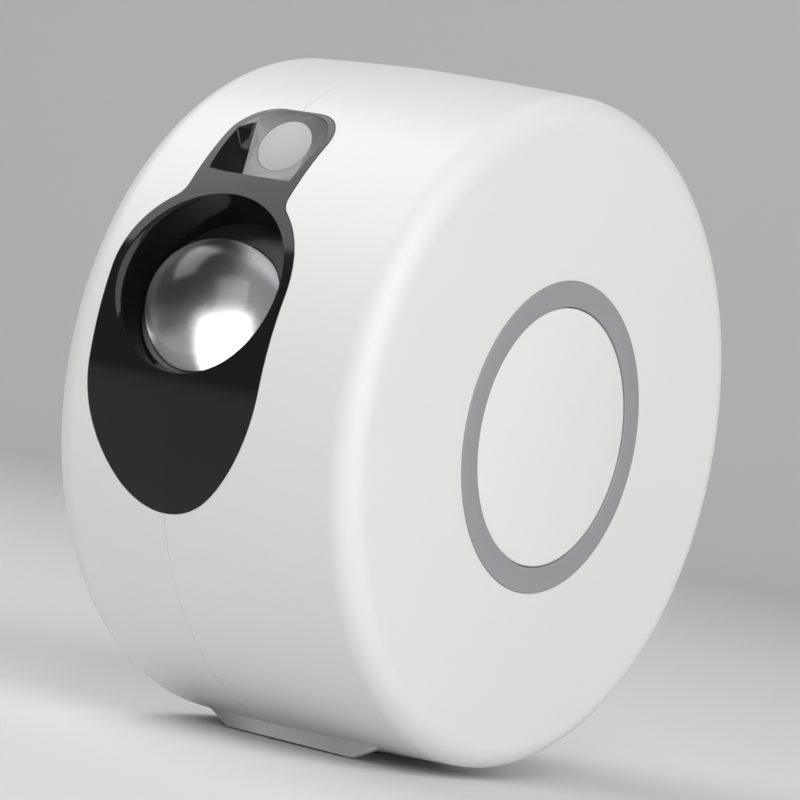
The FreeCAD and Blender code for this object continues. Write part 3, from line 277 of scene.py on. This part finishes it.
def ringed(name, rings, frame_matrix, material, closed=True, steps=160, angle=30):
    """A mesh from rings (reach, height, shift sideways in its own Y), in millimetres of its frame."""
    work = bmesh.new()
    rows = []
    for reach, height, shift in rings:
        if reach < 1e-6:
            rows.append([work.verts.new((0, shift * MM, height * MM))] * steps)
            continue
        row = []
        for step in range(steps):
            turn = 2 * math.pi * step / steps
            row.append(work.verts.new((reach * math.cos(turn) * MM, (reach * math.sin(turn) + shift) * MM,
                                       height * MM)))
        rows.append(row)
    pairs = list(zip(rows, rows[1:])) + ([(rows[-1], rows[0])] if closed else [])
    for low, high in pairs:
        for step in range(steps):
            following = (step + 1) % steps
            corners = [low[step], low[following], high[following], high[step]]
            different = list(dict.fromkeys(corners))
            if len(different) > 2:
                work.faces.new(different)
    bmesh.ops.recalc_face_normals(work, faces=work.faces)
    work.transform(frame_matrix)
    mesh = bpy.data.meshes.new(name)
    work.to_mesh(mesh)
    work.free()
    mesh.materials.append(material)
    mesh.shade_smooth()
    mesh.set_sharp_from_angle(angle=math.radians(angle))
    return mesh


def dress(material, *names):
    """Give CAD nodes their material."""
    for name in names:
        mesh = cad[name].data
        mesh.materials.clear()
        mesh.materials.append(material)


clear_glass = surface("clear_glass", tone=(0.97, 0.98, 1.0), second=(0.99, 0.99, 1.0), patch=60.0,
                      gloss=(0.20, 0.24), grain=900.0, relief=0.0, edge=0.0, Transmission_Weight=1.0,
                      IOR=1.52)
optic = looking(LENS_PLACE, OPTIC_TILT)
dome = [(LENS_RADIUS * math.cos(math.radians(rise)),
         LENS_RADIUS * math.sin(math.radians(rise)) - LENS_DROP, 0) for rise in range(0, 88, 3)]
flange = section([(0, FLANGE_BACK, 0), (FLANGE_RADIUS, FLANGE_BACK, FLANGE_EDGE),
                  (FLANGE_RADIUS, FLANGE_FRONT, FLANGE_EDGE), (NECK_RADIUS, FLANGE_FRONT, 0)])
lens_rings = flange + dome + [(0, LENS_RADIUS - LENS_DROP, 0)]
new_piece("lens", ringed("lens", lens_rings, optic, clear_glass, closed=False), "case",
          "projection_lens")
dress(clear_glass, "condenser_lens")

# Black inner mouldings: the lens ring, the lens tube and the chassis, in matt glass-filled nylon.
# The ring stands off centre round the lens and is softened at both of its mouths; the chassis is
# screwed to the far half and carries the tube, the wheels and the lamps.
RING_SHIFT, RING_RADIUS, RING_FRONT, RING_EDGE = 2.0, 22.6, 0.5, 0.3
BORE_RADIUS, BORE_EDGE, SEAT_RADIUS = 16.3, 0.35, 17.6
black_plastic = surface("black_plastic", tone=(0.010, 0.010, 0.011), second=(0.016, 0.016, 0.017),
                        patch=40.0, gloss=(0.28, 0.38), grain=1800.0, relief=0.12)
ring_rings = [(RING_RADIUS, FLANGE_BACK, RING_SHIFT)]
ring_rings += section([(RING_RADIUS, FLANGE_BACK, 0), (RING_RADIUS, RING_FRONT, RING_EDGE),
                       (BORE_RADIUS, RING_FRONT, 0)], RING_SHIFT)[1:-1]
ring_rings += section([(RING_RADIUS, RING_FRONT, 0), (BORE_RADIUS, RING_FRONT, BORE_EDGE),
                       (BORE_RADIUS, FLANGE_FRONT, 0)])[1:-1]
ring_rings += [(BORE_RADIUS, FLANGE_FRONT, 0), (SEAT_RADIUS, FLANGE_FRONT, 0), (SEAT_RADIUS, FLANGE_BACK, 0)]
new_piece("clamp_ring", ringed("clamp_ring", ring_rings, optic, black_plastic), "case",
          "lens_ring")
dress(black_plastic, "lens_tube", "optics_chassis")

# Ripple plate and turning glass: pressed glass whose uneven faces throw the moving cloud.
# The plate is fixed in the tube; the glass is cemented into its toothed ring.
ripple_glass = surface("ripple_glass", tone=(0.93, 0.97, 1.0), second=(0.96, 0.98, 1.0), patch=30.0,
                       gloss=(0.02, 0.06), grain=300.0, relief=0.9, edge=0.0, Transmission_Weight=0.1,
                       IOR=1.5)
dress(ripple_glass, "ripple_plate", "nebula_glass")

# Laser window: a pale frosted disc of acrylic with a softened edge.
# Its lip is cemented to the recess from behind.
DISC_RADIUS, DISC_EDGE = 6.9, 0.2
LIP_RADIUS, LIP_BACK, LIP_FRONT = 8.1, -2.8, -1.6
frosted_window = surface("frosted_window", tone=(0.48, 0.48, 0.485), second=(0.51, 0.51, 0.515), patch=60.0,
                         gloss=(0.35, 0.45), grain=2500.0, relief=0.15)
window_rings = section([(0, LIP_BACK, 0), (LIP_RADIUS, LIP_BACK, DISC_EDGE),
                        (LIP_RADIUS, LIP_FRONT, DISC_EDGE), (DISC_RADIUS, LIP_FRONT, 0),
                        (DISC_RADIUS, 0, DISC_EDGE), (0, 0, 0)])
new_piece("window_disc", ringed("window_disc", window_rings, looking(WINDOW_PLACE, WINDOW_TILT),
                                frosted_window, closed=False),
          "case", "laser_window")

# Control ring: a grey ring pressed into the casing's round face, a little proud of it.
# Its skirt reaches in behind the face and is the button's stop.
COLLAR_BORE, COLLAR_SKIRT, COLLAR_RADIUS = 30.4, 32.9, 36.4
COLLAR_BACK, COLLAR_SHOULDER, COLLAR_FRONT = 37.0, 41.0, 42.5
ring_grey = surface("ring_grey", tone=(0.31, 0.31, 0.32), second=(0.34, 0.34, 0.35), patch=25.0,
                    gloss=(0.38, 0.45), grain=2200.0, relief=0.12)
on_axis = Matrix.Translation(Vector((0, 0, AXIS_HEIGHT)) * MM) @ Matrix.Rotation(math.pi / 2, 4, "Y")
collar_rings = section([(COLLAR_BORE, COLLAR_BACK, 0.2), (COLLAR_SKIRT, COLLAR_BACK, 0.2),
                        (COLLAR_SKIRT, COLLAR_SHOULDER, 0), (COLLAR_RADIUS, COLLAR_SHOULDER, 0.1),
                        (COLLAR_RADIUS, COLLAR_FRONT, 0.3), (COLLAR_BORE, COLLAR_FRONT, 0.3)])
new_piece("face_ring", ringed("face_ring", collar_rings, on_axis, ring_grey), "case",
          "grey_ring")

# Push button: one white moulding with its skirt, its stop and the post that meets the switch.
# It slides in the ring's bore along the drum's axis.
BUTTON_RADIUS, BUTTON_FRONT, BUTTON_INSIDE = 30.2, 42.2, 40.2
SKIRT_BORE, STOP_RADIUS, STOP_BACK, STOP_FRONT = 28.6, 32.9, 35.7, 36.7
POST_RADIUS, POST_END = 2.5, 37.4
button_white = surface("button_white", tone=(0.82, 0.82, 0.81), second=(0.84, 0.84, 0.83), patch=12.0,
                       gloss=(0.30, 0.36), grain=2600.0, relief=0.08)
button_rings = section([(0, POST_END, 0), (POST_RADIUS, POST_END, 0.3), (POST_RADIUS, BUTTON_INSIDE, 0.3),
                        (SKIRT_BORE, BUTTON_INSIDE, 0.3), (SKIRT_BORE, STOP_BACK, 0.2),
                        (STOP_RADIUS, STOP_BACK, 0.2), (STOP_RADIUS, STOP_FRONT, 0.2),
                        (BUTTON_RADIUS, STOP_FRONT, 0), (BUTTON_RADIUS, BUTTON_FRONT, 0.45),
                        (0, BUTTON_FRONT, 0)])
new_piece("push_button", ringed("push_button", button_rings, on_axis, button_white, closed=False),
          "button", "mode_button")

# Return spring: wound steel wire that stands behind the button and pushes it out against its stop.
# It is wound as one fixed coil between its foot and the button.
SPRING_FOOT, SPRING_TOP, SPRING_RADIUS, SPRING_WIRE, SPRING_TURNS = 33.0, 40.2, 5.0, 0.3, 5.5
spring_steel = surface("spring_steel", tone=(0.4, 0.4, 0.41), second=(0.5, 0.5, 0.5), patch=300.0,
                       gloss=(0.2, 0.3), grain=2500.0, relief=0.1, Metallic=1.0)


def coil(name, steps=264, sides=10):
    """The spring's wire, wound along the drum's axis from its foot to its top."""
    work = bmesh.new()
    rows = []
    for step in range(steps + 1):
        turn = 2 * math.pi * SPRING_TURNS * step / steps
        middle = SPRING_FOOT + SPRING_WIRE + (SPRING_TOP - SPRING_FOOT - 2 * SPRING_WIRE) * step / steps
        row = []
        for side in range(sides):
            about = 2 * math.pi * side / sides
            reach = SPRING_RADIUS + SPRING_WIRE * math.cos(about)
            row.append(work.verts.new(((middle + SPRING_WIRE * math.sin(about)) * MM,
                                       reach * math.cos(turn) * MM,
                                       (AXIS_HEIGHT + reach * math.sin(turn)) * MM)))
        rows.append(row)
    for low, high in zip(rows, rows[1:]):
        for side in range(sides):
            following = (side + 1) % sides
            work.faces.new((low[side], low[following], high[following], high[side]))
    work.faces.new(rows[0])
    work.faces.new(rows[-1])
    bmesh.ops.recalc_face_normals(work, faces=work.faces)
    mesh = bpy.data.meshes.new(name)
    work.to_mesh(mesh)
    work.free()
    mesh.materials.append(spring_steel)
    mesh.shade_smooth()
    return mesh


return_spring = new_piece("return_spring", coil("return_spring"), "case", "button_spring")
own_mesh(return_spring)

# Screws, axle and shafts: bright steel, rolled or turned.
# The screws hold the casing, the chassis, the heat sink, the laser's block and the board.
steel = surface("steel", tone=(0.55, 0.55, 0.56), second=(0.62, 0.62, 0.62), patch=200.0, gloss=(0.2, 0.3),
                grain=1500.0, relief=0.1, Metallic=1.0)
dress(steel, "case_screws", "chassis_screws", "heat_sink_screws", "holder_screw", "board_screws",
      "nebula_axle", "nebula_shaft", "star_shaft")

# Motors: two small geared motors in plated cans.
# Each is pressed into its bracket with its shaft forward.
motor_can = surface("motor_can", tone=(0.6, 0.6, 0.61), second=(0.66, 0.66, 0.66), patch=90.0,
                    gloss=(0.22, 0.32), grain=1200.0, relief=0.1, Metallic=1.0)
dress(motor_can, "nebula_motor", "star_motor")

# Gears, hub and switch plunger: moulded nylon in its natural white, run dry.
# The pinions are pressed on the motors' shafts, and the big gears turn on the axle and the block.
nylon_white = surface("nylon_white", tone=(0.78, 0.77, 0.72), second=(0.82, 0.81, 0.77), patch=60.0,
                      gloss=(0.4, 0.5), grain=1500.0, relief=0.1)
dress(nylon_white, "nebula_gear", "nebula_hub", "nebula_pinion", "star_gear", "star_pinion",
      "switch_plunger")

# Lamp: three bright chips on a green board, screwed to a finned block of cast aluminium.
# The laser's holder is milled from the same metal.
aluminium = surface("aluminium", tone=(0.7, 0.7, 0.71), second=(0.76, 0.76, 0.77), patch=70.0,
                    gloss=(0.35, 0.45), grain=3000.0, relief=0.3, Metallic=1.0)
board_green = surface("board_green", tone=(0.01, 0.10, 0.04), second=(0.015, 0.14, 0.06), patch=60.0,
                      gloss=(0.25, 0.35), grain=1500.0, relief=0.1)
led_white = surface("led_white", tone=(0.85, 0.78, 0.4), second=(0.9, 0.84, 0.5), patch=300.0,
                    gloss=(0.3, 0.4), grain=2500.0, relief=0.1)
dress(aluminium, "heat_sink", "laser_holder")
dress(board_green, "led_board")
dress(led_white, "led_chips")

# Star laser: a turned brass module held in its block by one screw.
# A thin etched film in the turning gear splits its beam into stars.
brass = surface("brass", tone=(0.75, 0.56, 0.25), second=(0.8, 0.62, 0.3), patch=90.0, gloss=(0.2, 0.3),
                grain=1500.0, relief=0.1, Metallic=1.0)
grating_film = surface("grating_film", tone=(0.9, 0.92, 1.0), second=(0.85, 0.9, 1.0), patch=60.0,
                       gloss=(0.05, 0.1), grain=900.0, relief=0.1, Transmission_Weight=0.9, IOR=1.5)
dress(brass, "laser_module")
dress(grating_film, "star_film")

# Circuit board: green board behind the button, with its chips and switch in black moulded cases.
# The power inlet is a black socket round a brass pin.
chip_black = surface("chip_black", tone=(0.02, 0.02, 0.022), second=(0.03, 0.03, 0.032), patch=90.0,
                     gloss=(0.4, 0.5), grain=2500.0, relief=0.3)
dress(board_green, "main_board")
dress(chip_black, "mode_switch", "power_inlet", "board_chips")
dress(brass, "inlet_pin")

# Foot pad: a soft black rubber pad, glued into its pocket under the foot.
# It keeps the drum from sliding.
rubber_pad = surface("rubber_pad", tone=(0.02, 0.02, 0.02), second=(0.03, 0.03, 0.03), patch=60.0,
                     gloss=(0.7, 0.8), grain=1500.0, relief=0.4)
dress(rubber_pad, "foot_pad")

# Floor and backdrop: one seamless pale sweep behind the object, lit softly.
# It runs along the view, flat at first, then up through a quarter round into a wall.
VIEW_SIDE = Vector((0.8232, 0.5677, 0.0))
VIEW_AHEAD = Vector((-0.5677, 0.8232, 0.0))
FLOOR_NEAR, FLOOR_FAR, FLOOR_SIDE = -3.0, 1.4, 4.0
SWEEP_RADIUS, SWEEP_STEPS, WALL_TOP = 0.8, 24, 3.0
profile = [(FLOOR_NEAR, 0.0), (FLOOR_FAR, 0.0)]
for step in range(1, SWEEP_STEPS + 1):
    angle = math.radians(90 * step / SWEEP_STEPS)
    profile.append((FLOOR_FAR + SWEEP_RADIUS * math.sin(angle), SWEEP_RADIUS * (1 - math.cos(angle))))
profile.append((FLOOR_FAR + SWEEP_RADIUS, WALL_TOP))
points = [VIEW_AHEAD * along + VIEW_SIDE * side + Vector((0, 0, height))
          for along, height in profile for side in (-FLOOR_SIDE, FLOOR_SIDE)]
sweep_mesh = bpy.data.meshes.new("floor")
strips = [(2 * row, 2 * row + 1, 2 * row + 3, 2 * row + 2) for row in range(len(profile) - 1)]
sweep_mesh.from_pydata(points, [], strips)
sweep_mesh.shade_smooth()
floor = bpy.data.objects.new("floor", sweep_mesh)
bpy.context.scene.collection.objects.link(floor)
sweep_mesh.materials.append(surface("floor_paint", tone=(0.80, 0.80, 0.805), second=(0.81, 0.81, 0.815),
                                    patch=2.0, gloss=(0.75, 0.8), grain=400.0, relief=0.02))

# Light: a long soft box above on the left, a broad one on the right, and an even pale room.
# Both boxes face the drum's middle.
CENTRE = (0.0, -0.03, 0.11)
ROOM_LEVEL = 0.27


def placed(across, upward, back, place):
    """The matrix of a lamp or camera from its three directions and its place."""
    return Matrix([(across[row], upward[row], back[row], place[row]) for row in range(3)] + [(0, 0, 0, 1)])


def softbox(name, place, along, width, height, watts):
    """A rectangular area light that faces the drum, its height laid along a given direction."""
    light = bpy.data.lights.new(name, "AREA")
    light.shape = "RECTANGLE"
    light.size = width
    light.size_y = height
    light.energy = watts
    lamp = bpy.data.objects.new(name, light)
    behind = (Vector(place) - Vector(CENTRE)).normalized()
    across = Vector(along).cross(behind).normalized()
    lamp.matrix_world = placed(across, behind.cross(across), behind, place)
    bpy.context.scene.collection.objects.link(lamp)


softbox("upper_left", (-0.76, -0.28, 1.08), along=(0.0, 0.85, 0.35), width=0.70, height=1.25, watts=7.6)
softbox("right_wall", (1.4, -0.85, 0.85), along=(0.0, 0.0, 1.0), width=1.8, height=2.2, watts=30.0)
world = bpy.data.worlds.new("room")
bpy.context.scene.world = world
world.use_nodes = True
world.node_tree.nodes["Background"].inputs["Color"].default_value = (1.0, 1.0, 1.0, 1)
world.node_tree.nodes["Background"].inputs["Strength"].default_value = ROOM_LEVEL

# Camera: the photograph's own place, angle and slight roll, through a long lens.
# The picture's right and up are squared to each other here.
EYE = Vector((0.53528, -0.77866, 0.09008))
RIGHT = Vector((0.80856, 0.5592, 0.1831))
UP = Vector((-0.1548, -0.0980, 0.98306))
camera_data = bpy.data.cameras.new("camera")
camera_data.lens = 180.0
camera_data.sensor_width = 36.0
camera = bpy.data.objects.new("camera", camera_data)
bpy.context.scene.collection.objects.link(camera)
back = RIGHT.cross(UP).normalized()
across = UP.cross(back).normalized()
camera.matrix_world = placed(across, back.cross(across), back, EYE)
bpy.context.scene.camera = camera
bpy.context.scene.view_settings.view_transform = "Standard"
